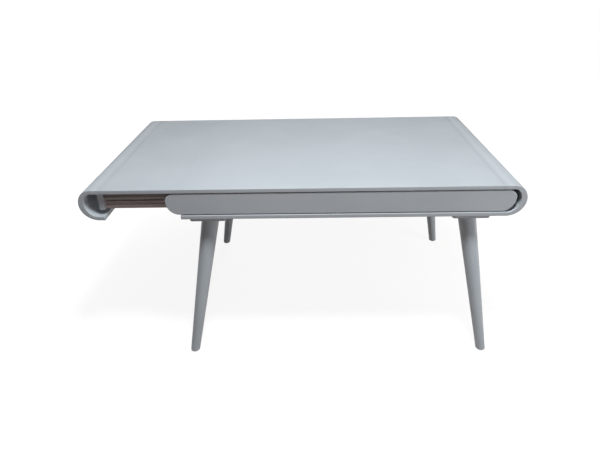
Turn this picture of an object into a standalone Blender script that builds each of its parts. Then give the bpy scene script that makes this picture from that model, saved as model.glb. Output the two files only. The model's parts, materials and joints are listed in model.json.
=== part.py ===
# Extending table with two pull-out bow ends, at its real size in metres, +Z up.
# The left end is drawn out and its leaf lies in the gap. The right end is closed.
# X runs along the table, the front faces -Y, and the floor is Z = 0.

import math

import bmesh
import bpy
from mathutils import Matrix, Vector

# Overall sizes
TABLE_HEIGHT = 0.760
CLOSED_LENGTH = 1.380
TABLE_DEPTH = 0.900
SHELL_HEIGHT = 0.124  # underside of the bottom panel to the table top
BOARD = 0.016  # top panel, bottom panel, leaf and the bows' flanges
PULL_OUT = 0.290  # how far the left end stands out at rest, one leaf
OVER_TRAVEL = 0.050  # how much further an end runs, so that a leaf drops in freely
EDGE_ROUND = 0.002  # rounding of the shell's front and back edges
SMALL_ROUND = 0.001  # broken edges of inner boards

# Clearances
GAP = 0.0003  # between pieces that lie against each other
SEAM = 0.0003  # between the boards of the table top
ARM_TOP_CLEARANCE = 0.0005  # arm to the underside of the top
ARM_SIDE_CLEARANCE = 0.003  # arm to the partitions and battens inside it
ARM_FLOOR_CLEARANCE = 0.0195  # arm to the upper face of the bottom panel
ARM_END_CLEARANCE = 0.060  # closed arm to the middle partition
RAIL_SIDE_CLEARANCE = 0.0015  # cross rail to the aprons' inner faces
NOSE_CLEARANCE = 0.0155  # apron's nose to the closed bow's inside
BRACKET_CLEARANCE = 0.006  # bracket to the slide above it

# Bow ends: a board bent to a C, measured inwards from the closed table's tip
BOW_CROWN_DROP = 0.0585  # the tip's depth below the table top
BOW_UPPER_RUN = 0.051
BOW_LOWER_RUN = 0.069
BOW_WALL = 0.022  # thickness at the tip
BOW_STEPS = 18  # facets in each quarter of the bow
CROSS_RAIL = 0.019  # board across the bow's mouth
RAIL_SETBACK = 0.002  # the rail lies this far inside the flanges' ends

# Aprons: long boards with round noses that reach into the closed bows
APRON_THICKNESS = 0.016
APRON_SETBACK = 0.0025
APRON_TOP_GAP = 0.0035
APRON_BOTTOM_GAP = 0.0030
APRON_ROUND = 0.0025
NOSE_DROP = 0.032  # the nose's tip below the apron's upper edge
NOSE_UPPER_RUN = 0.036
NOSE_LOWER_RUN = 0.048
NOSE_STEPS = 12

# Arms, leaf battens and partitions
ARM_THICKNESS = 0.016
BATTEN_WIDTH = 0.020
BATTEN_HEIGHT = 0.012
BATTEN_END = 0.025  # batten's end to the leaf's edge
PARTITION = 0.016
PARTITION_SETBACK = 0.240  # outer partitions from the end of the panels

# Ball-bearing slides, in section from the apron inwards
SLIDE_OVERLAP = 0.110  # what the members still share at full travel
SLIDE_INSET = 0.004  # slide's end from the end of the panels
SLIDE_SHEET = 0.0012
SLIDE_BACK = 0.0027  # space between the outer member's hook and the arm
BALL_RADIUS = 0.0020
BALL_DEPTH = 0.0068  # from the apron's face to the balls' centres
BALL_RISE = 0.0100  # from the slide's middle to the balls' centres
CUP_START = -35  # degrees round the ball, where the inner member's flange bends under it
CUP_END = -92
TRACK_STEPS = 8
CAGE_SHEET = 0.0005
CAGE_SPARE = 0.010  # the cage is shorter than the overlap by this
CAGE_BEND = 0.0028  # below the balls' centres
BALLS_IN_ROW = 5
BALL_SIDES = 8
BALL_RINGS = 6

# Legs
LEG_SPLAY_X = 0.117  # how far the foot stands out past the leg's top
LEG_SPLAY_Y = 0.101
LEG_TOP_DIAMETER = 0.070
LEG_FOOT_DIAMETER = 0.038
LEG_FOOT_ROUND = 0.004
LEG_SIDES = 48
PLATE_SIZE = 0.142
PLATE_THICKNESS = 0.016
PLATE_SETBACK = 0.015  # from the front and back of the table
PLATE_END_SETBACK = 0.027  # from the end of the bottom panel
PLATE_CORNER = 0.012
GLIDE_HEIGHT = 0.004
GLIDE_INSET = 0.005  # glide's rim inside the foot's rim
GLIDE_TAPER = 0.003
GLIDE_SIDES = 20

# Leg bolts, from inside the body down into the legs
BOLT_DIAMETER = 0.008
BOLT_IN_LEG = 0.045
BOLT_FLANGE_DIAMETER = 0.024
BOLT_FLANGE = 0.0016
BOLT_HEAD_WIDTH = 0.013  # across flats
BOLT_HEAD_HEIGHT = 0.0065
BOLT_SIDES = 12

# Steel angles that hold the aprons on the bottom panel
BRACKET_SETBACK = 0.180  # from the end of the panels
BRACKET_WIDTH = 0.036
BRACKET_SHEET = 0.0025
BRACKET_REACH = 0.026

# Levels and planes that follow from the sizes above
HALF_LENGTH = CLOSED_LENGTH / 2
HALF_DEPTH = TABLE_DEPTH / 2
SHELL_BOTTOM = TABLE_HEIGHT - SHELL_HEIGHT
INNER_TOP = TABLE_HEIGHT - BOARD
INNER_BOTTOM = SHELL_BOTTOM + BOARD
INNER_MIDDLE = (INNER_TOP + INNER_BOTTOM) / 2
INNER_HEIGHT = INNER_TOP - INNER_BOTTOM
RAIL_OUTER = max(BOW_UPPER_RUN, BOW_LOWER_RUN)
RAIL_INNER = RAIL_OUTER + CROSS_RAIL
BOW_REACH = RAIL_INNER + RAIL_SETBACK
PANEL_HALF = HALF_LENGTH - BOW_REACH - SEAM
APRON_HALF = HALF_LENGTH - BOW_WALL - NOSE_CLEARANCE
APRON_INNER = HALF_DEPTH - APRON_SETBACK - APRON_THICKNESS
APRON_HEIGHT = INNER_HEIGHT - APRON_TOP_GAP - APRON_BOTTOM_GAP
TRACK_RADIUS = BALL_RADIUS + GAP + SLIDE_SHEET / 2
SLIDE_LENGTH = PULL_OUT + OVER_TRAVEL + SLIDE_OVERLAP
SLIDE_DEPTH = BALL_DEPTH + TRACK_RADIUS + SLIDE_SHEET / 2 + SLIDE_BACK
SLIDE_HALF_HEIGHT = BALL_RISE + TRACK_RADIUS + SLIDE_SHEET / 2
SLIDE_LEVEL = INNER_TOP - APRON_TOP_GAP - APRON_HEIGHT / 2
SLIDE_FACE = APRON_INNER - GAP
CAGE_LENGTH = SLIDE_OVERLAP - CAGE_SPARE
ARM_OUTER = SLIDE_FACE - SLIDE_DEPTH - GAP
ARM_INNER = ARM_OUTER - ARM_THICKNESS
ARM_TOP = INNER_TOP - ARM_TOP_CLEARANCE
ARM_BOTTOM = INNER_BOTTOM + ARM_FLOOR_CLEARANCE
ARM_LENGTH = HALF_LENGTH - RAIL_INNER - GAP - PARTITION / 2 - ARM_END_CLEARANCE
PLATE_TOP = SHELL_BOTTOM - GAP
PLATE_BOTTOM = PLATE_TOP - PLATE_THICKNESS
LEG_X = PANEL_HALF - PLATE_END_SETBACK - PLATE_SIZE / 2
LEG_Y = HALF_DEPTH - PLATE_SETBACK - PLATE_SIZE / 2
LEG_TOP = PLATE_BOTTOM - GAP
LEG_FOOT = GLIDE_HEIGHT + GAP
BRACKET_FLOOR = INNER_BOTTOM + GAP
BRACKET_RISE = SLIDE_LEVEL - SLIDE_HALF_HEIGHT - BRACKET_CLEARANCE - BRACKET_FLOOR

SIDES = {"left": -1, "right": 1}
FACES = {"front": -1, "back": 1}
CORNERS = [(side, face) for side in SIDES for face in FACES]
DRAWN_OUT = {"left": PULL_OUT, "right": 0.0}

X_AXIS, Y_AXIS, Z_AXIS = range(3)
SAME_PLACE = 1e-6  # coordinates closer than this count as equal
SHARP_ANGLE = 30  # degrees, from which an edge is shaded sharp
HEXAGON = 6

# Finishes: colour, roughness, metallic
LACQUER = ((0.60, 0.65, 0.69), 0.38, 0.0)
LEG_LACQUER = ((0.52, 0.56, 0.60), 0.42, 0.0)
INNER_BOARD = ((0.46, 0.45, 0.44), 0.60, 0.0)
BEECH = ((0.62, 0.44, 0.27), 0.60, 0.0)
STEEL = ((0.52, 0.53, 0.55), 0.32, 1.0)
ZINC = ((0.66, 0.67, 0.68), 0.35, 1.0)
GLIDE_PLASTIC = ((0.10, 0.10, 0.11), 0.55, 0.0)


# Objects and materials

def clear_scene():
    for item in list(bpy.data.objects):
        bpy.data.objects.remove(item, do_unlink=True)


def make_material(name, finish):
    colour, roughness, metallic = finish
    material = bpy.data.materials.new(name)
    material.use_nodes = True
    shader = material.node_tree.nodes["Principled BSDF"]
    shader.inputs["Base Color"].default_value = (*colour, 1.0)
    shader.inputs["Roughness"].default_value = roughness
    shader.inputs["Metallic"].default_value = metallic
    material.diffuse_color = (*colour, 1.0)
    return material


def add_frame(name, x, parent=None):
    """An empty that carries the pieces which move together."""
    empty = bpy.data.objects.new(name, None)
    empty.location = (x, 0.0, 0.0)
    empty.parent = parent
    bpy.context.scene.collection.objects.link(empty)
    return empty


def add_piece(name, solid, finish, parent, location=(0.0, 0.0, 0.0)):
    """Turn a bmesh into a named object with its own material."""
    bmesh.ops.recalc_face_normals(solid, faces=solid.faces)
    mesh = bpy.data.meshes.new(name)
    solid.to_mesh(mesh)
    solid.free()
    mesh.shade_smooth()
    mesh.set_sharp_from_angle(angle=math.radians(SHARP_ANGLE))
    mesh.materials.append(make_material(name, finish))
    piece = bpy.data.objects.new(name, mesh)
    piece.parent = parent
    piece.location = location
    bpy.context.scene.collection.objects.link(piece)
    return piece


def add_guide(name, solid, parent):
    """A hidden solid that only cuts or joins other pieces."""
    guide = add_piece(name, solid, ZINC, parent)
    guide.hide_render = True
    guide.display_type = "WIRE"
    return guide


def combine(piece, guide, operation):
    modifier = piece.modifiers.new(guide.name, "BOOLEAN")
    modifier.operation = operation
    modifier.solver = "EXACT"
    modifier.object = guide


# Shapes

def box(size):
    solid = bmesh.new()
    bmesh.ops.create_cube(solid, size=1.0)
    bmesh.ops.scale(solid, vec=Vector(size), verts=solid.verts)
    return solid


def round_edges(solid, radius, chosen, steps=2):
    edges = [edge for edge in solid.edges if chosen(edge)]
    bmesh.ops.bevel(
        solid, geom=edges, offset=radius, segments=steps, profile=0.5, affect="EDGES"
    )


def runs_along(axis):
    """A test for the edges that run along one axis."""

    def test(edge):
        direction = edge.verts[1].co - edge.verts[0].co
        return direction.length - abs(direction[axis]) < SAME_PLACE

    return test


def lies_across(axis):
    """A test for the edges that keep one place along an axis, as round a prism's ends."""

    def test(edge):
        return abs(edge.verts[0].co[axis] - edge.verts[1].co[axis]) < SAME_PLACE

    return test


def lies_on_floor(level):
    """A test for the edges at a solid's lowest level."""

    def test(edge):
        return max(vertex.co.z for vertex in edge.verts) < level + SAME_PLACE

    return test


def arc(centre, radii, start, end, steps):
    """Points on an ellipse, with the angles in degrees."""
    points = []
    for step in range(steps + 1):
        angle = math.radians(start + (end - start) * step / steps)
        x = centre[0] + radii[0] * math.cos(angle)
        y = centre[1] + radii[1] * math.sin(angle)
        points.append((x, y))
    return points


def prism(outline, length, axis):
    """Extrude a closed outline along one axis, evenly to both sides."""
    solid = bmesh.new()
    first, second = [other for other in range(3) if other != axis]
    corners = []
    for point in outline:
        place = Vector((0.0, 0.0, 0.0))
        place[first], place[second] = point
        place[axis] = -length / 2
        corners.append(solid.verts.new(place))
    face = solid.faces.new(corners)
    grown = bmesh.ops.extrude_face_region(solid, geom=[face])
    moved = [item for item in grown["geom"] if isinstance(item, bmesh.types.BMVert)]
    step = Vector((0.0, 0.0, 0.0))
    step[axis] = length
    bmesh.ops.translate(solid, vec=step, verts=moved)
    return solid


def revolve(solid, profile, sides, matrix):
    """Turn (radius, height) points about the matrix's Z axis, with flat ends."""
    rings = []
    for radius, height in profile:
        ring = []
        for side in range(sides):
            angle = 2 * math.pi * side / sides
            point = Vector((radius * math.cos(angle), radius * math.sin(angle), height))
            ring.append(solid.verts.new(matrix @ point))
        rings.append(ring)
    solid.faces.new(rings[0])
    solid.faces.new(rings[-1])
    for lower, upper in zip(rings, rings[1:]):
        for side in range(sides):
            after = (side + 1) % sides
            solid.faces.new((lower[side], lower[after], upper[after], upper[side]))


def sheet_outline(path, thickness):
    """The closed outline of a bent sheet whose middle follows the path."""
    points = [Vector(point) for point in path]
    runs = [(after - before).normalized() for before, after in zip(points, points[1:])]
    left = []
    right = []
    for index, point in enumerate(points):
        back = runs[max(index - 1, 0)]
        ahead = runs[min(index, len(runs) - 1)]
        normal = Vector((-back.y - ahead.y, back.x + ahead.x)).normalized()
        reach = thickness / 2 / normal.dot(Vector((-back.y, back.x)))
        left.append(tuple(point + normal * reach))
        right.append(tuple(point - normal * reach))
    return left + right[::-1]


def with_mirror_image(upper):
    """A path that rises from its lower mirror image through the given upper half."""
    return [(depth, -rise) for depth, rise in reversed(upper)] + upper


def aimed(point, direction):
    """A matrix at a point with its Z along the direction."""
    turn = Vector((0.0, 0.0, 1.0)).rotation_difference(Vector(direction))
    return Matrix.Translation(Vector(point)) @ turn.to_matrix().to_4x4()


def from_tip(side, inwards):
    """The X of a point measured inwards from the closed table's tip."""
    return SIDES[side] * (HALF_LENGTH - inwards)


# Fixed body

def make_panel(name, level, frame, half_length=PANEL_HALF, middle=0.0):
    """A shell board with rounded front and back edges."""
    solid = box((2 * half_length, TABLE_DEPTH, BOARD))
    round_edges(solid, EDGE_ROUND, runs_along(X_AXIS))
    return add_piece(name, solid, LACQUER, frame, (middle, 0.0, level + BOARD / 2))


def make_apron(face, frame):
    """A board between top and bottom whose ends are rounded to noses."""
    upper = arc(
        (APRON_HALF - NOSE_UPPER_RUN, -NOSE_DROP), (NOSE_UPPER_RUN, NOSE_DROP), 90, 0, NOSE_STEPS
    )
    lower = arc(
        (APRON_HALF - NOSE_LOWER_RUN, -NOSE_DROP),
        (NOSE_LOWER_RUN, APRON_HEIGHT - NOSE_DROP),
        0,
        -90,
        NOSE_STEPS,
    )
    nose = upper + lower[1:]
    outline = nose + [(-x, z) for x, z in reversed(nose)]
    solid = prism(outline, APRON_THICKNESS, Y_AXIS)
    round_edges(solid, APRON_ROUND, lies_across(Y_AXIS))
    place = (0.0, FACES[face] * (APRON_INNER + APRON_THICKNESS / 2), INNER_TOP - APRON_TOP_GAP)
    return add_piece(face + "_apron", solid, LACQUER, frame, place)


def make_partition(name, x, half, frame):
    """An upright board that stands on the bottom panel and carries the top."""
    solid = box((PARTITION, 2 * half, INNER_HEIGHT - 2 * GAP))
    return add_piece(name, solid, INNER_BOARD, frame, (x, 0.0, INNER_MIDDLE))


def make_partitions(frame):
    """A middle partition between the aprons, and two shorter ones between the arms."""
    make_partition("middle_partition", 0.0, APRON_INNER - GAP, frame)
    for side, sign in SIDES.items():
        x = sign * (PANEL_HALF - PARTITION_SETBACK)
        make_partition(side + "_partition", x, ARM_INNER - ARM_SIDE_CLEARANCE, frame)


def make_bracket(side, face, frame):
    """A steel angle in the corner between an apron and the bottom panel."""
    middle = BRACKET_SHEET / 2
    path = [(-middle, BRACKET_RISE), (-middle, middle), (-BRACKET_REACH, middle)]
    section = sheet_outline(path, BRACKET_SHEET)
    solid = prism([(FACES[face] * y, z) for y, z in section], BRACKET_WIDTH, X_AXIS)
    corner = FACES[face] * (APRON_INNER - GAP)
    place = (SIDES[side] * (PANEL_HALF - BRACKET_SETBACK), corner, BRACKET_FLOOR)
    return add_piece(f"{side}_{face}_apron_bracket", solid, ZINC, frame, place)


# Legs

def make_plate(name, x, y, frame):
    solid = box((PLATE_SIZE, PLATE_SIZE, PLATE_THICKNESS))
    round_edges(solid, PLATE_CORNER, runs_along(Z_AXIS), steps=4)
    round_edges(solid, SMALL_ROUND, lies_on_floor(-PLATE_THICKNESS / 2), steps=1)
    place = (x, y, PLATE_BOTTOM + PLATE_THICKNESS / 2)
    return add_piece(name, solid, LEG_LACQUER, frame, place)


def make_leg(name, x, y, foot, frame):
    """A turned taper, cut level at its top and foot."""
    solid = bmesh.new()
    top = Vector((x, y, LEG_TOP))
    axis = foot - top
    length = axis.length
    spare = LEG_TOP_DIAMETER  # the turned blank is longer at both ends than the finished leg
    taper = (LEG_TOP_DIAMETER - LEG_FOOT_DIAMETER) / 2 / length
    profile = [
        (LEG_TOP_DIAMETER / 2 + taper * spare, -spare),
        (LEG_FOOT_DIAMETER / 2 - taper * spare, length + spare),
    ]
    revolve(solid, profile, LEG_SIDES, aimed((0, 0, 0), axis))
    sole = foot.z - top.z
    for level, up in ((0.0, 1), (sole, -1)):
        everything = [*solid.verts, *solid.edges, *solid.faces]
        bmesh.ops.bisect_plane(
            solid, geom=everything, plane_co=(0, 0, level), plane_no=(0, 0, up), clear_outer=True
        )
    bmesh.ops.holes_fill(solid, edges=[edge for edge in solid.edges if edge.is_boundary], sides=0)
    round_edges(solid, LEG_FOOT_ROUND, lies_on_floor(sole), steps=3)
    return add_piece(name, solid, LEG_LACQUER, frame, top)


def make_glide(name, foot, frame):
    solid = bmesh.new()
    radius = LEG_FOOT_DIAMETER / 2 - GLIDE_INSET
    profile = [
        (radius - GLIDE_TAPER, 0.0),
        (radius, min(GLIDE_TAPER, GLIDE_HEIGHT / 2)),
        (radius, GLIDE_HEIGHT),
    ]
    revolve(solid, profile, GLIDE_SIDES, Matrix.Identity(4))
    return add_piece(name, solid, GLIDE_PLASTIC, frame, (foot.x, foot.y, 0.0))


def make_bolt(name, x, y, frame):
    """A flanged hexagon bolt whose flange lies on the bottom panel."""
    place = Matrix.Translation((x, y, INNER_BOTTOM + GAP))
    radius = BOLT_DIAMETER / 2
    tip = LEG_TOP - BOLT_IN_LEG - INNER_BOTTOM
    flange = BOLT_FLANGE_DIAMETER / 2
    solid = bmesh.new()
    profile = [(radius, tip), (radius, 0.0), (flange, 0.0), (flange, BOLT_FLANGE)]
    revolve(solid, profile, BOLT_SIDES, place)
    bolt = add_piece(name, solid, ZINC, frame)
    head = bmesh.new()
    corner = BOLT_HEAD_WIDTH / 2 / math.cos(math.pi / HEXAGON)
    top = BOLT_FLANGE + BOLT_HEAD_HEIGHT
    revolve(head, [(corner, BOLT_FLANGE / 2), (corner, top)], HEXAGON, place)
    combine(bolt, add_guide(name + "_head", head, frame), "UNION")


def bore_for_bolt(name, x, y, pieces, frame):
    """Cut the bolt's clearance hole through the pieces that it holds together."""
    radius = BOLT_DIAMETER / 2 + GAP
    tip = LEG_TOP - BOLT_IN_LEG - INNER_BOTTOM - GAP
    solid = bmesh.new()
    place = Matrix.Translation((x, y, INNER_BOTTOM))
    revolve(solid, [(radius, tip), (radius, BOLT_FLANGE)], BOLT_SIDES, place)
    guide = add_guide(name + "_hole", solid, frame)
    for piece in pieces:
        combine(piece, guide, "DIFFERENCE")


def make_legs(frame, bottom):
    """Four splayed legs, each bolted through its plate and the bottom panel."""
    for side, face in CORNERS:
        stem = f"{side}_{face}"
        x = SIDES[side] * LEG_X
        y = FACES[face] * LEG_Y
        splay = Vector((SIDES[side] * LEG_SPLAY_X, FACES[face] * LEG_SPLAY_Y, LEG_FOOT))
        foot = Vector((x, y, 0.0)) + splay
        plate = make_plate(stem + "_leg_plate", x, y, frame)
        leg = make_leg(stem + "_leg", x, y, foot, frame)
        make_glide(stem + "_foot_glide", foot, frame)
        make_bolt(stem + "_leg_bolt", x, y, frame)
        bore_for_bolt(stem + "_leg_bolt", x, y, [bottom, plate, leg], frame)


# Slides

def track(start, end, steps):
    """Part of a ball track's section, round the upper row's centre."""
    return arc((BALL_DEPTH, BALL_RISE), (TRACK_RADIUS, TRACK_RADIUS), start, end, steps)


def outer_slide_path():
    """Web on the apron, and a hook over the balls."""
    return [(SLIDE_SHEET / 2, BALL_RISE - 2 * TRACK_RADIUS)] + track(180, 0, TRACK_STEPS)


def inner_slide_path():
    """Web on the arm, and a cupped flange under the balls."""
    web = SLIDE_DEPTH - SLIDE_SHEET / 2
    shoulder = BALL_RISE - TRACK_RADIUS
    cup = track(CUP_START, CUP_END, TRACK_STEPS // 2)
    return [(web, shoulder - TRACK_RADIUS), (web - SLIDE_SHEET, shoulder)] + cup


def slide_place(side, face):
    x = from_tip(side, BOW_REACH + SLIDE_INSET + SLIDE_LENGTH / 2)
    return Vector((x, FACES[face] * SLIDE_FACE, SLIDE_LEVEL))


def slide_section(path, sheet, face):
    outline = sheet_outline(with_mirror_image(path), sheet)
    return [(-FACES[face] * depth, rise) for depth, rise in outline]


def make_slide_member(name, path, side, face, frame):
    solid = prism(slide_section(path, SLIDE_SHEET, face), SLIDE_LENGTH, X_AXIS)
    return add_piece(name, solid, STEEL, frame, slide_place(side, face))


def make_cage(name, side, face, frame):
    """A bent strip with an upper and a lower row of balls."""
    web = (SLIDE_SHEET + BALL_DEPTH) / 2
    path = [(web, BALL_RISE - CAGE_BEND), (BALL_DEPTH, BALL_RISE)]
    solid = prism(slide_section(path, CAGE_SHEET, face), CAGE_LENGTH, X_AXIS)
    place = slide_place(side, face)
    cage = add_piece(name, solid, ZINC, frame, place)
    balls = bmesh.new()
    pitch = CAGE_LENGTH / BALLS_IN_ROW
    for row in (1, -1):
        for number in range(BALLS_IN_ROW):
            along = (2 * number + 1 - BALLS_IN_ROW) * pitch / 2
            centre = place + Vector((along, -FACES[face] * BALL_DEPTH, row * BALL_RISE))
            bmesh.ops.create_uvsphere(
                balls,
                u_segments=BALL_SIDES,
                v_segments=BALL_RINGS,
                radius=BALL_RADIUS,
                matrix=Matrix.Translation(centre) @ Matrix.Rotation(math.pi / 2, 4, "Y"),
            )
    combine(cage, add_guide(name + "_balls", balls, frame), "UNION")


def make_slide(side, face, frames):
    """A telescopic slide: two members, and the cage of balls between them."""
    stem = f"{side}_{face}_slide"
    make_slide_member(stem + "_outer", outer_slide_path(), side, face, frames["body"])
    make_slide_member(stem + "_inner", inner_slide_path(), side, face, frames[side, "end"])
    make_cage(stem + "_cage", side, face, frames[side, "cages"])


# Pull-out ends and leaf

def make_bow(side, frame):
    """The C-shaped end, whose flanges carry on the top and bottom panels."""
    upper = (BOW_UPPER_RUN, -BOW_CROWN_DROP)
    lower = (BOW_LOWER_RUN, -BOW_CROWN_DROP)
    lower_drop = SHELL_HEIGHT - BOW_CROWN_DROP
    outline = [(BOW_REACH, 0.0)]
    outline += arc(upper, (BOW_UPPER_RUN, BOW_CROWN_DROP), 90, 180, BOW_STEPS)
    outline += arc(lower, (BOW_LOWER_RUN, lower_drop), 180, 270, BOW_STEPS)[1:]
    outline += [(BOW_REACH, -SHELL_HEIGHT), (BOW_REACH, BOARD - SHELL_HEIGHT)]
    hollow = (BOW_LOWER_RUN - BOW_WALL, lower_drop - BOARD)
    outline += arc(lower, hollow, 270, 180, BOW_STEPS)
    hollow = (BOW_UPPER_RUN - BOW_WALL, BOW_CROWN_DROP - BOARD)
    outline += arc(upper, hollow, 180, 90, BOW_STEPS)[1:]
    outline.append((BOW_REACH, -BOARD))
    outline = [(-SIDES[side] * inwards, rise) for inwards, rise in outline]
    solid = prism(outline, TABLE_DEPTH, Y_AXIS)
    round_edges(solid, EDGE_ROUND, lies_across(Y_AXIS))
    place = (SIDES[side] * HALF_LENGTH, 0.0, TABLE_HEIGHT)
    return add_piece(side + "_bow", solid, LACQUER, frame, place)


def make_cross_rail(side, frame):
    """The board across the bow's mouth, as deep as the arms that it carries."""
    half = APRON_INNER - RAIL_SIDE_CLEARANCE
    top = INNER_TOP - GAP
    solid = box((CROSS_RAIL, 2 * half, top - ARM_BOTTOM))
    round_edges(solid, SMALL_ROUND, runs_along(Z_AXIS), steps=1)
    place = (from_tip(side, RAIL_INNER - CROSS_RAIL / 2), 0.0, (top + ARM_BOTTOM) / 2)
    return add_piece(side + "_cross_rail", solid, LACQUER, frame, place)


def make_arm(side, face, frame):
    """A bearer from the cross rail into the body, which also holds up the leaf."""
    solid = box((ARM_LENGTH, ARM_THICKNESS, ARM_TOP - ARM_BOTTOM))
    round_edges(solid, SMALL_ROUND, runs_along(X_AXIS), steps=1)
    x = from_tip(side, RAIL_INNER + GAP + ARM_LENGTH / 2)
    place = (x, FACES[face] * (ARM_OUTER + ARM_INNER) / 2, (ARM_TOP + ARM_BOTTOM) / 2)
    return add_piece(f"{side}_{face}_arm", solid, INNER_BOARD, frame, place)


def make_end(side, frames):
    """The bow, its cross rail, two arms, and the slides that they run on."""
    frame = frames[side, "end"]
    make_bow(side, frame)
    make_cross_rail(side, frame)
    for face in FACES:
        make_arm(side, face, frame)
        make_slide(side, face, frames)


def make_leaf(frame):
    """The loose leaf on the arms, kept in line by two battens between them."""
    width = PULL_OUT - SEAM
    middle = PULL_OUT - PANEL_HALF - SEAM - width / 2
    make_panel("leaf", INNER_TOP, frame, width / 2, middle)
    for face in FACES:
        solid = box((width - 2 * BATTEN_END, BATTEN_WIDTH, BATTEN_HEIGHT))
        round_edges(solid, SMALL_ROUND, runs_along(X_AXIS), steps=1)
        y = FACES[face] * (ARM_INNER - ARM_SIDE_CLEARANCE - BATTEN_WIDTH / 2)
        place = (middle, y, INNER_TOP - GAP - BATTEN_HEIGHT / 2)
        add_piece(f"leaf_{face}_batten", solid, BEECH, frame, place)


def make_frames():
    """Empties for the fixed body and for all that moves, set where each stands at rest."""
    body = add_frame("body_frame", PULL_OUT / 2)
    frames = {"body": body}
    for side, sign in SIDES.items():
        out = sign * DRAWN_OUT[side]
        frames[side, "end"] = add_frame(side + "_end_frame", out, body)
        # The balls roll between both members, so the cages follow at half the travel
        frames[side, "cages"] = add_frame(side + "_cages_frame", out / 2, body)
    frames["leaf"] = add_frame("leaf_frame", 0.0, frames["left", "end"])
    return frames


def main():
    clear_scene()
    frames = make_frames()
    body = frames["body"]
    make_panel("top_panel", INNER_TOP, body)
    bottom = make_panel("bottom_panel", SHELL_BOTTOM, body)
    for face in FACES:
        make_apron(face, body)
    make_partitions(body)
    for side, face in CORNERS:
        make_bracket(side, face, body)
    make_legs(body, bottom)
    for side in SIDES:
        make_end(side, frames)
    make_leaf(frames["leaf"])


main()
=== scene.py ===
import json
import math

import bpy
from mathutils import Matrix, Vector

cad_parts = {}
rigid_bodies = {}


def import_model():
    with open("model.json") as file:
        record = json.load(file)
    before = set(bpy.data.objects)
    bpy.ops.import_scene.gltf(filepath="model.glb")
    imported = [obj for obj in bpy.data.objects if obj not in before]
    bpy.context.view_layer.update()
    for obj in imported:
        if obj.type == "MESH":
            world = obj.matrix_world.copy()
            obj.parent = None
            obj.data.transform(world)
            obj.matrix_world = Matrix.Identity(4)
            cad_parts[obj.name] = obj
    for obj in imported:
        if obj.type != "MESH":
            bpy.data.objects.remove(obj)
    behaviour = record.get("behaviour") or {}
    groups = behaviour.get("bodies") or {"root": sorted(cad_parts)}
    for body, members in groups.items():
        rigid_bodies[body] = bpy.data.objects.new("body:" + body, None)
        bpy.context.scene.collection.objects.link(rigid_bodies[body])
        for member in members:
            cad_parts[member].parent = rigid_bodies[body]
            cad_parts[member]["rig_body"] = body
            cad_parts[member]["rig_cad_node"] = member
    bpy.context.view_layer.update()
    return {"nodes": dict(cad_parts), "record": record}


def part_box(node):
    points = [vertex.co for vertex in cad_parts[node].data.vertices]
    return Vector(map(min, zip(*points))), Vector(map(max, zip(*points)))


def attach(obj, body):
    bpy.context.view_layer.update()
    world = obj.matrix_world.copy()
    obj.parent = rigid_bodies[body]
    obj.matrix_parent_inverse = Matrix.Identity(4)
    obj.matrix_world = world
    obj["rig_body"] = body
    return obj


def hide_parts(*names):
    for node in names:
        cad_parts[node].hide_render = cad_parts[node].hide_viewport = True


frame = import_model()
nodes = frame["nodes"]
bodies = frame["record"]["behaviour"]["bodies"]
bodyOf = {node: body for body, members in bodies.items() for node in members}


# Camera, from the photograph's vanishing lines

cameraSettings = {
    "place": (0.0411, -2.0865, 1.4903),
    "right": (0.99965438, 0.01583892, -0.02098218),
    "down": (-0.01094272, -0.47500595, -0.87991454),
    "forward": (-0.02390356, 0.87984003, -0.47466846),
    "focalPixels": 488.79,
    "imageWidth": 600,
    "sensor": 36.0,
}


def addCamera(settings):
    data = bpy.data.cameras.new("tableCamera")
    data.sensor_width = settings["sensor"]
    data.sensor_fit = "HORIZONTAL"
    data.lens = settings["focalPixels"] * settings["sensor"] / settings["imageWidth"]
    camera = bpy.data.objects.new("tableCamera", data)
    bpy.context.scene.collection.objects.link(camera)
    right, up, back = Vector(settings["right"]), -Vector(settings["down"]), -Vector(settings["forward"])
    turn = Matrix((right, up, back)).transposed().to_4x4()
    camera.matrix_world = Matrix.Translation(settings["place"]) @ turn
    bpy.context.scene.camera = camera


addCamera(cameraSettings)
print("camera set")


# Small helpers for node trees

def wire(tree, source, target):
    tree.links.new(source, target)


def feed(tree, value, socket):
    if isinstance(value, (int, float)):
        socket.default_value = value
    else:
        wire(tree, value, socket)


def addNode(tree, kind, **sockets):
    node = tree.nodes.new(kind)
    for name, value in sockets.items():
        node.inputs[name.replace("_", " ")].default_value = value
    return node


def mathNode(tree, operation, first, second=None, clamp=False):
    node = tree.nodes.new("ShaderNodeMath")
    node.operation = operation
    node.use_clamp = clamp
    for socket, value in zip(node.inputs, (first, second)):
        if value is not None:
            feed(tree, value, socket)
    return node.outputs[0]


def meanOf(tree, first, second):
    return mathNode(tree, "MULTIPLY", mathNode(tree, "ADD", first, second), 0.5)


def dotNode(tree, first, second):
    node = tree.nodes.new("ShaderNodeVectorMath")
    node.operation = "DOT_PRODUCT"
    wire(tree, first, node.inputs[0])
    wire(tree, second, node.inputs[1])
    return node.outputs["Value"]


def splitNode(tree, vector):
    node = tree.nodes.new("ShaderNodeSeparateXYZ")
    wire(tree, vector, node.inputs["Vector"])
    return node.outputs


def rangeNode(tree, value, low, high, newLow=0.0, newHigh=1.0, smooth=False):
    node = tree.nodes.new("ShaderNodeMapRange")
    node.interpolation_type = "SMOOTHSTEP" if smooth else "LINEAR"
    limits = {"From Min": low, "From Max": high, "To Min": newLow, "To Max": newHigh}
    for name, limit in limits.items():
        feed(tree, limit, node.inputs[name])
    wire(tree, value, node.inputs["Value"])
    return node.outputs["Result"]


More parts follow.
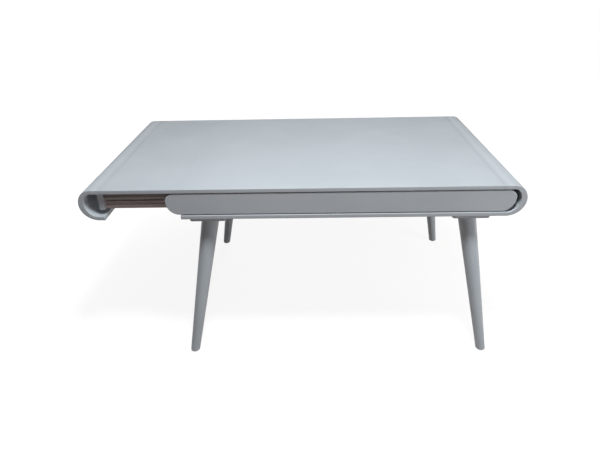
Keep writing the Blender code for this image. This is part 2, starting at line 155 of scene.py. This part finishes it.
def noiseNode(tree, vector, scale=1.0, detail=2.0, roughness=0.5, stretch=None):
    if stretch:
        mapping = addNode(tree, "ShaderNodeMapping", Scale=stretch)
        wire(tree, vector, mapping.inputs["Vector"])
        vector = mapping.outputs["Vector"]
    node = addNode(tree, "ShaderNodeTexNoise", Detail=detail, Roughness=roughness)
    feed(tree, scale, node.inputs["Scale"])
    wire(tree, vector, node.inputs["Vector"])
    return node.outputs["Fac"]


def cellNode(tree, vector, scale):
    node = addNode(tree, "ShaderNodeTexVoronoi", Scale=scale)
    wire(tree, vector, node.inputs["Vector"])
    return node.outputs


def mixColour(tree, mask, first, second):
    node = tree.nodes.new("ShaderNodeMix")
    node.data_type = "RGBA"
    factor = next(s for s in node.inputs if s.type == "VALUE")
    wire(tree, mask, factor)
    colours = [s for s in node.inputs if s.type == "RGBA"]
    for socket, value in zip(colours, (first, second)):
        if isinstance(value, tuple):
            socket.default_value = (*value, 1.0)
        else:
            wire(tree, value, socket)
    return next(s for s in node.outputs if s.type == "RGBA")


def newGroup(name, inputs, outputs):
    group = bpy.data.node_groups.new(name, "ShaderNodeTree")
    for label, kind in inputs.items():
        group.interface.new_socket(label, in_out="INPUT", socket_type="NodeSocket" + kind)
    for label in outputs:
        group.interface.new_socket(label, in_out="OUTPUT", socket_type="NodeSocketFloat")
    return group, group.nodes.new("NodeGroupInput"), group.nodes.new("NodeGroupOutput")


# Effects that several finishes share

spraySettings = {
    "mottle": {"scale": 2.6, "detail": 3.0, "roughness": 0.55},
    "mottleRange": (0.35, 0.65),
    "smudge": {"scale": 9.0, "detail": 6.0, "roughness": 0.62},
    "smudgeRange": (0.44, 0.66),
    "scratchAlong": (7.0, 420.0, 90.0),
    "scratchAcross": (380.0, 9.0, 90.0),
    "scratchRange": (0.72, 0.80),
}


def makeSprayGroup(settings):
    inputs = {"Vector": "Vector", "Peel Scale": "Float"}
    group, given, result = newGroup("sprayedCoat", inputs, ["Mottle", "Smudge", "Peel", "Scratch"])
    place = given.outputs["Vector"]
    mottle = noiseNode(group, place, **settings["mottle"])
    mottle = rangeNode(group, mottle, *settings["mottleRange"], smooth=True)
    wire(group, mottle, result.inputs["Mottle"])
    smudge = noiseNode(group, place, **settings["smudge"])
    smudge = rangeNode(group, smudge, *settings["smudgeRange"], smooth=True)
    wire(group, smudge, result.inputs["Smudge"])
    peel = noiseNode(group, place, given.outputs["Peel Scale"])
    wire(group, peel, result.inputs["Peel"])
    along = noiseNode(group, place, stretch=settings["scratchAlong"])
    across = noiseNode(group, place, stretch=settings["scratchAcross"])
    marks = mathNode(group, "MAXIMUM", along, across)
    marks = rangeNode(group, marks, *settings["scratchRange"], smooth=True)
    wire(group, marks, result.inputs["Scratch"])
    return group


rimSettings = {
    "sharpness": 4.0,  # how soon the wear ends on a face that looks along the axis
    "chips": {"scale": 55.0, "detail": 5.0, "roughness": 0.7},
    "chipRange": (0.38, 0.62),
    "chipLevel": (0.25, 1.0),
}


def makeRimGroup(settings):
    inputs = {"Vector": "Vector", "Normal": "Vector", "Axis": "Vector"}
    inputs.update({"Middle": "Float", "Half": "Float", "Width": "Float"})
    group, given, result = newGroup("rimWear", inputs, ["Wear"])
    place, axis, half = (given.outputs[name] for name in ("Vector", "Axis", "Half"))
    away = mathNode(group, "SUBTRACT", dotNode(group, place, axis), given.outputs["Middle"])
    away = mathNode(group, "ABSOLUTE", away)
    inner = mathNode(group, "SUBTRACT", half, given.outputs["Width"])
    near = rangeNode(group, away, inner, half)
    facing = mathNode(group, "ABSOLUTE", dotNode(group, given.outputs["Normal"], axis))
    facing = mathNode(group, "POWER", facing, settings["sharpness"])
    turned = mathNode(group, "SUBTRACT", 1.0, facing, True)
    chips = noiseNode(group, place, **settings["chips"])
    chips = rangeNode(group, chips, *settings["chipRange"], *settings["chipLevel"], True)
    mask = mathNode(group, "MULTIPLY", near, turned)
    wire(group, mathNode(group, "MULTIPLY", mask, chips, True), result.inputs["Wear"])
    return group


# A line across the top at a given x: used for the dark joints and for the painted highlight along each
# bow's bend
def makeSeamAndHighlightGroup():
    inputs = {"Vector": "Vector", "Place": "Float", "Width": "Float", "Level": "Float"}
    group, given, result = newGroup("seamAndHighlightLine", inputs, ["Line"])
    split = splitNode(group, given.outputs["Vector"])
    away = mathNode(group, "SUBTRACT", split["X"], given.outputs["Place"])
    away = mathNode(group, "ABSOLUTE", away)
    near = rangeNode(group, away, given.outputs["Width"], 0.0)
    upper = mathNode(group, "GREATER_THAN", split["Z"], given.outputs["Level"])
    wire(group, mathNode(group, "MULTIPLY", near, upper), result.inputs["Line"])
    return group


rollSettings = {
    "grain": {"detail": 4.0, "roughness": 0.6, "stretch": (14.0, 900.0, 1400.0)},
    "grainRange": (0.3, 0.7),
    "spangleScale": 260.0,
    "grease": {"detail": 5.0, "roughness": 0.6, "stretch": (9.0, 60.0, 120.0)},
    "greaseRange": (0.5, 0.72),
}


def makeRollGroup(settings):
    group, given, result = newGroup("rolledSteel", {"Vector": "Vector"}, ["Grain", "Spangle", "Grease"])
    place = given.outputs["Vector"]
    grain = noiseNode(group, place, **settings["grain"])
    wire(group, rangeNode(group, grain, *settings["grainRange"]), result.inputs["Grain"])
    shade = group.nodes.new("ShaderNodeRGBToBW")
    cells = cellNode(group, place, settings["spangleScale"])
    wire(group, cells["Color"], shade.inputs["Color"])
    wire(group, shade.outputs["Val"], result.inputs["Spangle"])
    grease = noiseNode(group, place, **settings["grease"])
    grease = rangeNode(group, grease, *settings["greaseRange"], smooth=True)
    wire(group, grease, result.inputs["Grease"])
    return group


grainSettings = {
    "bend": {"stretch": (2.0, 14.0, 14.0)},
    "bendShare": 0.6,
    "rings": {"detail": 5.0, "roughness": 0.55, "stretch": (3.0, 85.0, 85.0)},
    "ringShare": 0.5,
    "bandRange": (0.38, 0.72),
    "pores": {"stretch": (60.0, 1500.0, 1500.0)},
    "poreRange": (0.6, 0.74),
}


def makeGrainGroup(settings):
    group, given, result = newGroup("woodGrain", {"Vector": "Vector"}, ["Band", "Pore"])
    place = given.outputs["Vector"]
    bend = noiseNode(group, place, **settings["bend"])
    bend = mathNode(group, "MULTIPLY", bend, settings["bendShare"])
    rings = noiseNode(group, place, **settings["rings"])
    rings = mathNode(group, "MULTIPLY", rings, settings["ringShare"])
    band = mathNode(group, "ADD", bend, rings)
    band = rangeNode(group, band, *settings["bandRange"], smooth=True)
    wire(group, band, result.inputs["Band"])
    pores = noiseNode(group, place, **settings["pores"])
    pores = rangeNode(group, pores, *settings["poreRange"], smooth=True)
    wire(group, pores, result.inputs["Pore"])
    return group


sprayedCoat = makeSprayGroup(spraySettings)
rimWear = makeRimGroup(rimSettings)
seamAndHighlightLine = makeSeamAndHighlightGroup()
rolledSteel = makeRollGroup(rollSettings)
woodGrain = makeGrainGroup(grainSettings)
print("shared effects made")


# Materials

def newMaterial(name):
    material = bpy.data.materials.new(name)
    material.use_nodes = True
    tree = material.node_tree
    return material, tree, tree.nodes["Principled BSDF"], tree.nodes.new("ShaderNodeTexCoord")


def useGroup(tree, group, place, **sockets):
    node = tree.nodes.new("ShaderNodeGroup")
    node.node_tree = group
    wire(tree, place.outputs["Object"], node.inputs["Vector"])
    if "Normal" in node.inputs:
        wire(tree, place.outputs["Normal"], node.inputs["Normal"])
    for name, value in sockets.items():
        node.inputs[name.replace("_", " ")].default_value = value
    return node


def between(tree, mask, limits):
    return rangeNode(tree, mask, 0.0, 1.0, *limits)


def addBump(tree, shader, height, strength, distance):
    bump = addNode(tree, "ShaderNodeBump", Strength=strength, Distance=distance)
    wire(tree, height, bump.inputs["Height"])
    wire(tree, bump.outputs["Normal"], shader.inputs["Normal"])


lacquerSettings = {
    "light": (0.600, 0.645, 0.685),
    "deep": (0.565, 0.612, 0.652),
    "worn": (0.700, 0.730, 0.755),
    "scratched": 0.30,
    "rimWorn": 0.45,
    "rimWidth": 0.004,
    "roughness": (0.40, 0.47),
    "scratchRough": 0.25,
    "peel": 430.0,
    "bump": (0.10, 0.0004),  # strength and height
}

legSettings = {
    **lacquerSettings,
    "light": (0.605, 0.670, 0.720),
    "deep": (0.565, 0.625, 0.670),
    "worn": (0.690, 0.730, 0.760),
    "rimWidth": 0.003,
    "roughness": (0.40, 0.54),
    "peel": 520.0,
}

# The gloss ends where a surface is seen edge-on, so that silhouettes stay darker than the stage
sheenSettings = {
    "facing": (0.64, 0.86),
    "level": (0.30, 0.0),
}

seamAndHighlightSettings = {
    "level": 0.750,  # the lines show on the table top alone
    "joint": {"colour": (0.420, 0.460, 0.500), "width": 0.009, "strength": 0.27},
    # crest is a painted highlight: a light line along each bow's bend, where the curving lacquer
    # catches the light
    "crestHighlight": {"colour": (0.720, 0.755, 0.785), "width": 0.014, "strength": 0.42},
    "crestHighlightAway": 0.024,  # from the joint to where the bow starts to bend
}


def lacquerMaterial(name, settings, axis, middle, half, seamsAndHighlights=()):
    material, tree, shader, place = newMaterial(name)
    coat = useGroup(tree, sprayedCoat, place, Peel_Scale=settings["peel"])
    width = settings["rimWidth"]
    rim = useGroup(tree, rimWear, place, Axis=axis, Middle=middle, Half=half, Width=width)
    colour = mixColour(tree, coat.outputs["Mottle"], settings["deep"], settings["light"])
    marked = mathNode(tree, "MULTIPLY", coat.outputs["Scratch"], settings["scratched"])
    colour = mixColour(tree, marked, colour, settings["worn"])
    worn = mathNode(tree, "MULTIPLY", rim.outputs["Wear"], settings["rimWorn"])
    colour = mixColour(tree, worn, colour, settings["worn"])
    level = seamAndHighlightSettings["level"]
    # dark joint lines, and the painted highlight along each bow's bend
    for linePlace, tone in seamsAndHighlights:
        line = useGroup(tree, seamAndHighlightLine, place, Place=linePlace, Width=tone["width"], Level=level)
        lined = mathNode(tree, "MULTIPLY", line.outputs["Line"], tone["strength"])
        colour = mixColour(tree, lined, colour, tone["colour"])
    wire(tree, colour, shader.inputs["Base Color"])
    rough = between(tree, coat.outputs["Smudge"], settings["roughness"])
    markedRough = mathNode(tree, "MULTIPLY", marked, settings["scratchRough"])
    rough = mathNode(tree, "ADD", rough, markedRough, True)
    wire(tree, rough, shader.inputs["Roughness"])
    height = mathNode(tree, "SUBTRACT", coat.outputs["Peel"], coat.outputs["Scratch"])
    addBump(tree, shader, height, *settings["bump"])
    facing = tree.nodes.new("ShaderNodeLayerWeight").outputs["Facing"]
    sheen = rangeNode(tree, facing, *sheenSettings["facing"], *sheenSettings["level"])
    wire(tree, sheen, shader.inputs["Specular IOR Level"])
    return material


boardSettings = {
    "light": (0.740, 0.650, 0.640),
    "deep": (0.600, 0.520, 0.510),
    # shade is painted shade: a dark strip along the boards' top edges under the leaf, standing in for
    # the leaf's shadow
    "shade": (0.120, 0.100, 0.098),
    "paintedShadeReach": (0.7145, 0.7180),  # heights, under the leaf
    "flakeScale": 320.0,
    "flakeRange": (0.1, 0.7),
    "roughness": (0.52, 0.68),
    "peel": 900.0,
    "bump": (0.18, 0.0004),
}


def boardMaterial(name, settings):
    material, tree, shader, place = newMaterial(name)
    coat = useGroup(tree, sprayedCoat, place, Peel_Scale=settings["peel"])
    flakes = cellNode(tree, place.outputs["Object"], settings["flakeScale"])
    speck = rangeNode(tree, flakes["Distance"], *settings["flakeRange"])
    tone = meanOf(tree, speck, coat.outputs["Mottle"])
    colour = mixColour(tree, tone, settings["deep"], settings["light"])
    # painted shade: the boards turn dark towards their top edges, under the leaf
    height = splitNode(tree, place.outputs["Object"])["Z"]
    paintedShadeMask = rangeNode(tree, height, *settings["paintedShadeReach"])
    colour = mixColour(tree, paintedShadeMask, colour, settings["shade"])
    wire(tree, colour, shader.inputs["Base Color"])
    rough = between(tree, coat.outputs["Smudge"], settings["roughness"])
    wire(tree, rough, shader.inputs["Roughness"])
    addBump(tree, shader, coat.outputs["Peel"], *settings["bump"])
    return material


battenSettings = {
    "light": (0.600, 0.410, 0.240),
    "deep": (0.430, 0.265, 0.140),
    "pore": (0.250, 0.140, 0.070),
    "pored": 0.6,
    "roughness": (0.50, 0.66),
    "bump": (-0.25, 0.0004),
}


def battenMaterial(name, settings):
    material, tree, shader, place = newMaterial(name)
    grain = useGroup(tree, woodGrain, place)
    colour = mixColour(tree, grain.outputs["Band"], settings["light"], settings["deep"])
    pores = mathNode(tree, "MULTIPLY", grain.outputs["Pore"], settings["pored"])
    colour = mixColour(tree, pores, colour, settings["pore"])
    wire(tree, colour, shader.inputs["Base Color"])
    rough = between(tree, grain.outputs["Band"], settings["roughness"])
    wire(tree, rough, shader.inputs["Roughness"])
    addBump(tree, shader, grain.outputs["Pore"], *settings["bump"])
    return material


zincSettings = {
    "light": (0.680, 0.690, 0.700),
    "deep": (0.560, 0.565, 0.570),
    "grease": (0.230, 0.210, 0.190),
    "greasy": 0.15,
    "greaseRough": 0.2,
    "roughness": (0.28, 0.42),
    "bump": (0.08, 0.0002),
}

slideSettings = {
    **zincSettings,
    "light": (0.120, 0.096, 0.094),
    "deep": (0.080, 0.062, 0.061),
    "grease": (0.045, 0.035, 0.033),
    "greasy": 0.40,
    "roughness": (0.36, 0.52),
}


def steelMaterial(name, settings):
    material, tree, shader, place = newMaterial(name)
    steel = useGroup(tree, rolledSteel, place)
    tone = meanOf(tree, steel.outputs["Grain"], steel.outputs["Spangle"])
    colour = mixColour(tree, tone, settings["deep"], settings["light"])
    greasy = mathNode(tree, "MULTIPLY", steel.outputs["Grease"], settings["greasy"])
    colour = mixColour(tree, greasy, colour, settings["grease"])
    wire(tree, colour, shader.inputs["Base Color"])
    rough = between(tree, steel.outputs["Grain"], settings["roughness"])
    greasyRough = mathNode(tree, "MULTIPLY", greasy, settings["greaseRough"])
    wire(tree, mathNode(tree, "ADD", rough, greasyRough), shader.inputs["Roughness"])
    shader.inputs["Metallic"].default_value = 1.0
    addBump(tree, shader, steel.outputs["Grain"], *settings["bump"])
    return material


glideSettings = {
    "light": (0.060, 0.060, 0.065),
    "deep": (0.030, 0.030, 0.032),
    "roughness": (0.45, 0.70),
    "peel": 1600.0,
    "bump": (0.30, 0.0003),
}


def glideMaterial(name, settings):
    material, tree, shader, place = newMaterial(name)
    coat = useGroup(tree, sprayedCoat, place, Peel_Scale=settings["peel"])
    scuffed = mathNode(tree, "ADD", coat.outputs["Smudge"], coat.outputs["Scratch"], True)
    colour = mixColour(tree, scuffed, settings["deep"], settings["light"])
    wire(tree, colour, shader.inputs["Base Color"])
    wire(tree, between(tree, scuffed, settings["roughness"]), shader.inputs["Roughness"])
    addBump(tree, shader, coat.outputs["Peel"], *settings["bump"])
    return material


yAxis = (0.0, 1.0, 0.0)
zAxis = (0.0, 0.0, 1.0)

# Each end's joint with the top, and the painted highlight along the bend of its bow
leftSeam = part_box("leaf")[0].x
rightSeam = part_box("top_panel")[1].x
leftJoint = (leftSeam, seamAndHighlightSettings["joint"])
rightJoint = (rightSeam, seamAndHighlightSettings["joint"])
leftCrestHighlight = (leftSeam - seamAndHighlightSettings["crestHighlightAway"], seamAndHighlightSettings["crestHighlight"])
rightCrestHighlight = (rightSeam + seamAndHighlightSettings["crestHighlightAway"], seamAndHighlightSettings["crestHighlight"])
topSeamsAndHighlights = {
    "left_bow": [leftJoint, leftCrestHighlight],
    "leaf": [leftJoint],
    "top_panel": [rightJoint],
    "right_bow": [rightJoint, rightCrestHighlight],
}


def finishFor(node):
    low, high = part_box(node)
    middle = (low + high) / 2
    half = (high - low) / 2
    name = node + "_finish"
    if node.endswith(("_leg", "_leg_plate")):
        return lacquerMaterial(name, legSettings, zAxis, middle.z, half.z)
    if node.endswith(("_arm", "_partition")):
        return boardMaterial(name, boardSettings)
    if node.endswith("_batten"):
        return battenMaterial(name, battenSettings)
    if node.endswith("_foot_glide"):
        return glideMaterial(name, glideSettings)
    if node.endswith(("_cage", "_bracket", "_leg_bolt")):
        return steelMaterial(name, zincSettings)
    if "_slide_" in node:
        return steelMaterial(name, slideSettings)
    return lacquerMaterial(name, lacquerSettings, yAxis, middle.y, half.y, topSeamsAndHighlights.get(node, ()))


for node, piece in nodes.items():
    piece.data.materials.clear()
    piece.data.materials.append(finishFor(node))
print("finishes given to all nodes")


# Rounded pieces: a merged, smoothly shaded copy stands for each faceted node

roundSettings = {
    "ends": (
        "_bow", "_apron", "_panel", "leaf",
        "_leg", "_leg_plate", "_foot_glide",
        "_slide_outer", "_slide_inner",
    ),
    "mergeDistance": 0.00001,
    "sharpAngle": 46.0,
}


def selectOnly(piece):
    bpy.ops.object.select_all(action="DESELECT")
    piece.select_set(True)
    bpy.context.view_layer.objects.active = piece


def smoothCopy(node, settings):
    selectOnly(nodes[node])
    bpy.ops.object.duplicate()
    copy = bpy.context.object
    copy.name = node + "_smooth"
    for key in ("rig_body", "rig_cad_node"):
        if key in copy:
            del copy[key]
    bpy.ops.mesh.customdata_custom_splitnormals_clear()
    bpy.ops.object.mode_set(mode="EDIT")
    bpy.ops.mesh.select_all(action="SELECT")
    bpy.ops.mesh.remove_doubles(threshold=settings["mergeDistance"])
    bpy.ops.mesh.tris_convert_to_quads()
    bpy.ops.object.mode_set(mode="OBJECT")
    bpy.ops.object.shade_smooth_by_angle(angle=math.radians(settings["sharpAngle"]))
    flat = copy.modifiers.new("flat", "WEIGHTED_NORMAL")  # large faces stay flat between rounded edges
    flat.keep_sharp = True
    bpy.ops.object.modifier_apply(modifier="flat")
    copy.parent = None
    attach(copy, bodyOf[node])
    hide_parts(node)


roundNodes = [node for node in nodes if node.endswith(roundSettings["ends"])]
for node in roundNodes:
    smoothCopy(node, roundSettings)
print("rounded pieces smoothed:", len(roundNodes))


# Small screws, modelled once and copied

screwSettings = {
    "radius": 0.0040,
    "height": 0.0020,
    "sides": 24,
    "crown": 0.0013,
    "crownSteps": 4,
    "slotLength": 0.0044,
    "slotWidth": 0.0010,
    "slotDepth": 0.0012,
    "sharpAngle": 32.0,
    "sunk": 0.0001,
    "plateEdge": 0.018,
    "partitionShares": (0.1, 0.5, 0.9),
    "railEdge": 0.018,
    "slideSize": 0.7,
    "slideSteps": (0.035, 0.100, 0.165),
    "slideWeb": 0.0012,
}
screwFinish = steelMaterial("screw_finish", zincSettings)
slideScrewFinish = steelMaterial("slide_screw_finish", slideSettings)


def modelScrew(settings):
    height = settings["height"]
    bpy.ops.object.select_all(action="DESELECT")
    bpy.ops.mesh.primitive_cylinder_add(
        vertices=settings["sides"], radius=settings["radius"], depth=height,
        location=(0, 0, height / 2),
    )
    head = bpy.context.object
    bpy.ops.object.transform_apply(location=True, rotation=True, scale=True)
    bpy.ops.object.mode_set(mode="EDIT")
    bpy.ops.mesh.select_all(action="DESELECT")
    bpy.ops.object.mode_set(mode="OBJECT")
    points = head.data.vertices
    for edge in head.data.edges:  # the upper rim
        edge.select = all(points[v].co.z > height / 2 for v in edge.vertices)
    bpy.ops.object.mode_set(mode="EDIT")
    bpy.ops.mesh.bevel(offset=settings["crown"], segments=settings["crownSteps"])
    bpy.ops.object.mode_set(mode="OBJECT")
    for turn in (0.0, math.pi / 2):  # cross recess
        bpy.ops.object.select_all(action="DESELECT")
        bpy.ops.mesh.primitive_cube_add(size=1.0, location=(0, 0, height), rotation=(0, 0, turn))
        cutter = bpy.context.object
        cutter.scale = (settings["slotLength"], settings["slotWidth"], 2 * settings["slotDepth"])
        selectOnly(head)
        recess = head.modifiers.new("recess", "BOOLEAN")
        recess.operation = "DIFFERENCE"
        recess.object = cutter
        bpy.ops.object.modifier_apply(modifier="recess")
        bpy.data.objects.remove(cutter)
    bpy.ops.object.shade_smooth_by_angle(angle=math.radians(settings["sharpAngle"]))
    return head


def placeScrews(head, name, places, body, finish, size=1.0):
    copies = []
    for point, direction in places:
        selectOnly(head)
        bpy.ops.object.duplicate()
        copy = bpy.context.object
        outward = Vector(direction)
        turn = Vector(zAxis).rotation_difference(outward).to_matrix().to_4x4()
        seat = Vector(point) - outward * screwSettings["sunk"]
        copy.matrix_world = Matrix.Translation(seat) @ turn @ Matrix.Scale(size, 4)
        bpy.ops.object.transform_apply(location=True, rotation=True, scale=True)
        copies.append(copy)
    selectOnly(copies[0])
    for copy in copies:
        copy.select_set(True)
    bpy.ops.object.join()
    joined = bpy.context.object
    joined.name = name
    joined.data.materials.append(finish)
    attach(joined, body)


screwHead = modelScrew(screwSettings)
downward = (0, 0, -1)

platePlaces = []
plateEdge = screwSettings["plateEdge"]
corners = [(side, face) for side in ("left", "right") for face in ("front", "back")]
for side, face in corners:
    low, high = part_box(f"{side}_{face}_leg_plate")
    for x in (low.x + plateEdge, high.x - plateEdge):
        for y in (low.y + plateEdge, high.y - plateEdge):
            platePlaces.append(((x, y, low.z), downward))
placeScrews(screwHead, "plate_screws", platePlaces, "table_body", screwFinish)

partitionPlaces = []
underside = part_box("bottom_panel")[0].z
for part in ("left", "middle", "right"):
    low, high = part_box(part + "_partition")
    x = (low.x + high.x) / 2
    for share in screwSettings["partitionShares"]:
        y = low.y + share * (high.y - low.y)
        partitionPlaces.append(((x, y, underside), downward))
placeScrews(screwHead, "partition_screws", partitionPlaces, "table_body", screwFinish)

railEdge = screwSettings["railEdge"]
slideWeb = screwSettings["slideWeb"]
for side, sign in (("left", -1), ("right", 1)):
    railLow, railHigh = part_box(side + "_cross_rail")
    railFace = railLow.x if sign < 0 else railHigh.x
    railPlaces = []
    slidePlaces = []
    for face, outward in (("front", -1), ("back", 1)):
        low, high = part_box(f"{side}_{face}_arm")
        y = (low.y + high.y) / 2
        for z in (low.z + railEdge, high.z - railEdge):
            railPlaces.append(((railFace, y, z), (sign, 0, 0)))
        low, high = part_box(f"{side}_{face}_slide_inner")
        y = high.y - slideWeb if outward < 0 else low.y + slideWeb
        z = (low.z + high.z) / 2
        outerEnd = low.x if sign < 0 else high.x
        for inwards in screwSettings["slideSteps"]:
            slidePlaces.append(((outerEnd - sign * inwards, y, z), (0, outward, 0)))
    placeScrews(screwHead, side + "_rail_screws", railPlaces, side + "_end", screwFinish)
    placeScrews(
        screwHead, side + "_slide_screws", slidePlaces, side + "_end", slideScrewFinish,
        screwSettings["slideSize"],
    )
bpy.data.objects.remove(screwHead)
print("screws placed")


# Floor, background and light

stageSettings = {
    "floorSize": 60.0,
    "floorBounce": (0.352, 0.280, 0.258, 1.0),
    "floorWhite": (0.28, 0.28, 0.28, 1.0),
    "glow": (0.88, 1.0),
    "glowReach": (0.7, 1.9),  # metres from the table's middle
    "white": (1.0, 1.0, 1.0, 1.0),
    "skyColour": (1.0, 0.89, 0.85, 1.0),
    "skyStrength": 0.06,
}


def seenDirectly(tree):
    path = tree.nodes.new("ShaderNodeLightPath")
    seen = mathNode(tree, "MAXIMUM", path.outputs["Is Camera Ray"], path.outputs["Is Glossy Ray"])
    return mathNode(tree, "MAXIMUM", seen, path.outputs["Is Transmission Ray"])


def mixShaders(tree, mask, first, second):
    node = tree.nodes.new("ShaderNodeMixShader")
    wire(tree, mask, node.inputs["Fac"])
    wire(tree, first.outputs[0], node.inputs[1])
    wire(tree, second.outputs[0], node.inputs[2])
    return node


def floorMaterial(settings):
    material = bpy.data.materials.new("studio_floor_finish")
    material.use_nodes = True
    tree = material.node_tree
    tree.nodes.remove(tree.nodes["Principled BSDF"])
    place = tree.nodes.new("ShaderNodeTexCoord")
    away = tree.nodes.new("ShaderNodeVectorMath")
    away.operation = "LENGTH"
    wire(tree, place.outputs["Object"], away.inputs[0])
    plain = addNode(tree, "ShaderNodeEmission", Color=settings["white"])
    glow = rangeNode(tree, away.outputs["Value"], *settings["glowReach"], *settings["glow"], True)
    wire(tree, glow, plain.inputs["Strength"])
    shadowed = addNode(tree, "ShaderNodeBsdfDiffuse", Color=settings["floorWhite"])
    shown = tree.nodes.new("ShaderNodeAddShader")
    wire(tree, shadowed.outputs[0], shown.inputs[0])
    wire(tree, plain.outputs[0], shown.inputs[1])
    bounce = addNode(tree, "ShaderNodeBsdfDiffuse", Color=settings["floorBounce"])
    floor = mixShaders(tree, seenDirectly(tree), bounce, shown)
    below = tree.nodes.new("ShaderNodeNewGeometry").outputs["Backfacing"]
    clear = tree.nodes.new("ShaderNodeBsdfTransparent")  # from below, to show the underside
    oneSided = mixShaders(tree, below, floor, clear)
    wire(tree, oneSided.outputs[0], tree.nodes["Material Output"].inputs["Surface"])
    return material


def addFloor(settings):
    bpy.ops.object.select_all(action="DESELECT")
    bpy.ops.mesh.primitive_plane_add(size=settings["floorSize"], location=(0, 0, 0))
    floor = bpy.context.object
    floor.name = "studio_floor"
    floor.data.materials.append(floorMaterial(settings))


def addSky(settings):
    world = bpy.data.worlds.new("studioSky")
    bpy.context.scene.world = world
    world.use_nodes = True
    tree = world.node_tree
    sky = tree.nodes["Background"]
    sky.inputs["Color"].default_value = settings["skyColour"]
    sky.inputs["Strength"].default_value = settings["skyStrength"]
    white = addNode(tree, "ShaderNodeBackground", Color=settings["white"], Strength=1.0)
    shown = mixShaders(tree, seenDirectly(tree), sky, white)
    wire(tree, shown.outputs[0], tree.nodes["World Output"].inputs["Surface"])


lampSettings = {
    "key": {
        "place": (0.25, -1.15, 3.10), "aim": (0.10, -0.65, 0.70),
        "size": 0.6, "power": 62.0, "colour": (0.94, 0.98, 1.0),
    },
    "fill": {
        "place": (2.1, -1.4, 0.90), "aim": (0.4, 0.0, 0.45),
        "size": 1.1, "power": 8.0, "colour": (1.0, 1.0, 1.0),
    },
    "side": {
        "place": (1.45, -0.1, 0.35), "aim": (0.75, 0.35, 0.35),
        "size": 0.3, "power": 1.7, "colour": (1.0, 0.98, 0.96),
    },
    "left": {
        "place": (-2.2, 1.6, 0.15), "aim": (-0.8, 0.2, 0.55),
        "size": 0.6, "power": 8.0, "colour": (1.0, 1.0, 1.0),
    },
    "back": {
        "place": (-0.2, 2.7, 0.42), "aim": (0.1, 0.45, 0.62),
        "size": 0.6, "power": 16.0, "colour": (1.0, 1.0, 1.0),
    },
}


def addLamp(name, settings):
    data = bpy.data.lights.new(name, "AREA")
    data.shape = "DISK"
    data.size = settings["size"]
    data.energy = settings["power"]
    data.color = settings["colour"]
    lamp = bpy.data.objects.new(name, data)
    bpy.context.scene.collection.objects.link(lamp)
    away = Vector(settings["aim"]) - Vector(settings["place"])
    lamp.location = settings["place"]
    lamp.rotation_mode = "QUATERNION"
    lamp.rotation_quaternion = away.to_track_quat("-Z", "Y")


addFloor(stageSettings)
addSky(stageSettings)
for lampName, settings in lampSettings.items():
    addLamp(lampName + "Lamp", settings)
bpy.context.scene.view_settings.view_transform = "Standard"
print("studio lit")
